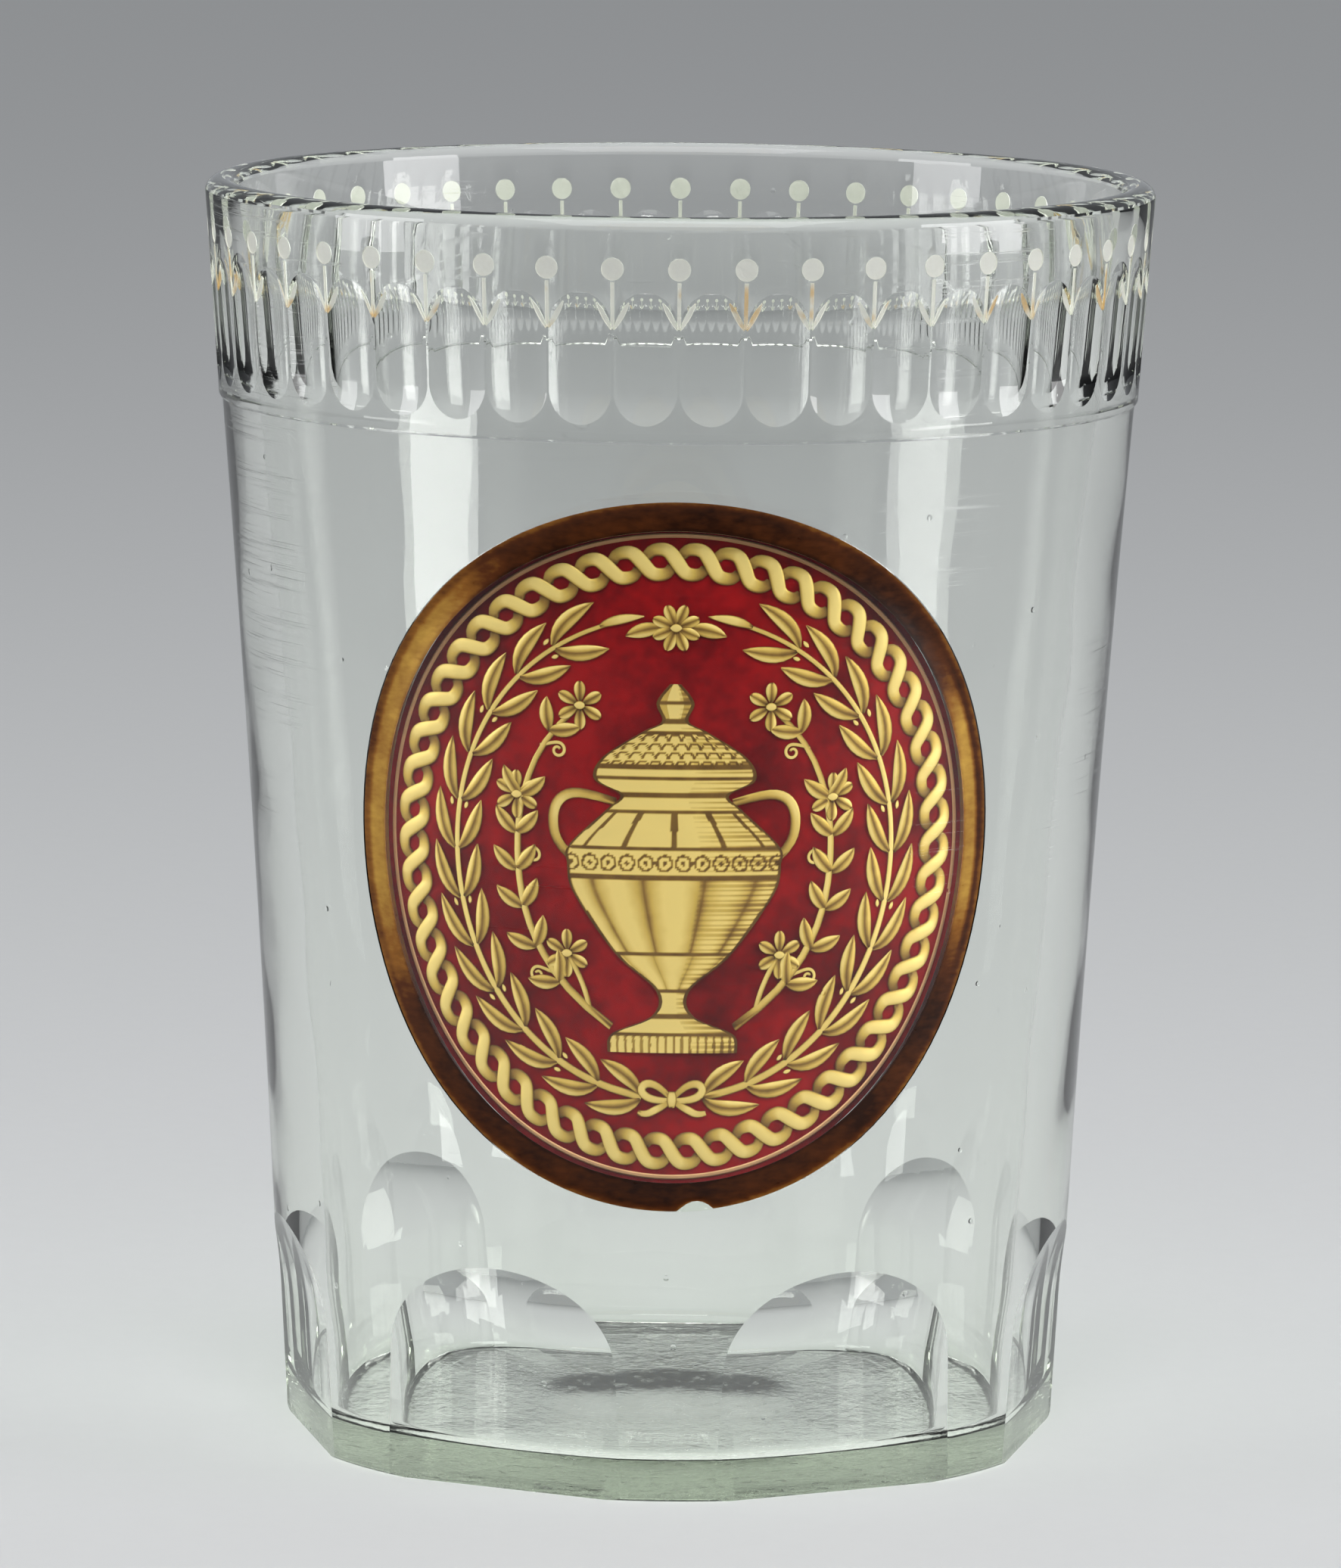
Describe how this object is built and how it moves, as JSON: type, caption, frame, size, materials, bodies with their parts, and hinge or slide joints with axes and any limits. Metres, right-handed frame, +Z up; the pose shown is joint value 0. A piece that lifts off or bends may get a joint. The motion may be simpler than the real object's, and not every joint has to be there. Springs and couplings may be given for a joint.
{
  "type": "glass beaker",
  "caption": "Tapered drinking beaker of cut clear glass, with a fluted collar, arch-topped facets round the foot and an oval medallion of gold leaf on crimson let into its side.",
  "frame": {"origin": "centre of the underside, on the surface that the beaker stands on", "axes": "+Z up along the beaker's axis, the medallion facing -Y, +X to the right of someone facing the medallion"},
  "size_m": [0.0862, 0.0862, 0.115],
  "materials": {
    "clear_glass": "polished clear glass, faintly grey-green where it is thick, matt where it is engraved",
    "plaque_glass": "polished clear glass with fine wear",
    "cement": "amber-brown cement under a polished bevel",
    "gold_leaf": "gold leaf, scratched through to make the ornament",
    "lacquer": "deep crimson lacquer behind glass"
  },
  "bodies": {
    "root": {"glass_body": "clear_glass", "medallion_glass": "plaque_glass", "cement_ring": "cement", "gold_edge_line": "gold_leaf", "gold_chain_border": "gold_leaf", "gold_laurel_left": "gold_leaf", "gold_laurel_right": "gold_leaf", "gold_urn": "gold_leaf", "gold_spray_left": "gold_leaf", "gold_spray_right": "gold_leaf", "gold_top_flower": "gold_leaf", "red_lacquer": "lacquer", "backing_leaf": "gold_leaf"}
  },
  "joints": []
}
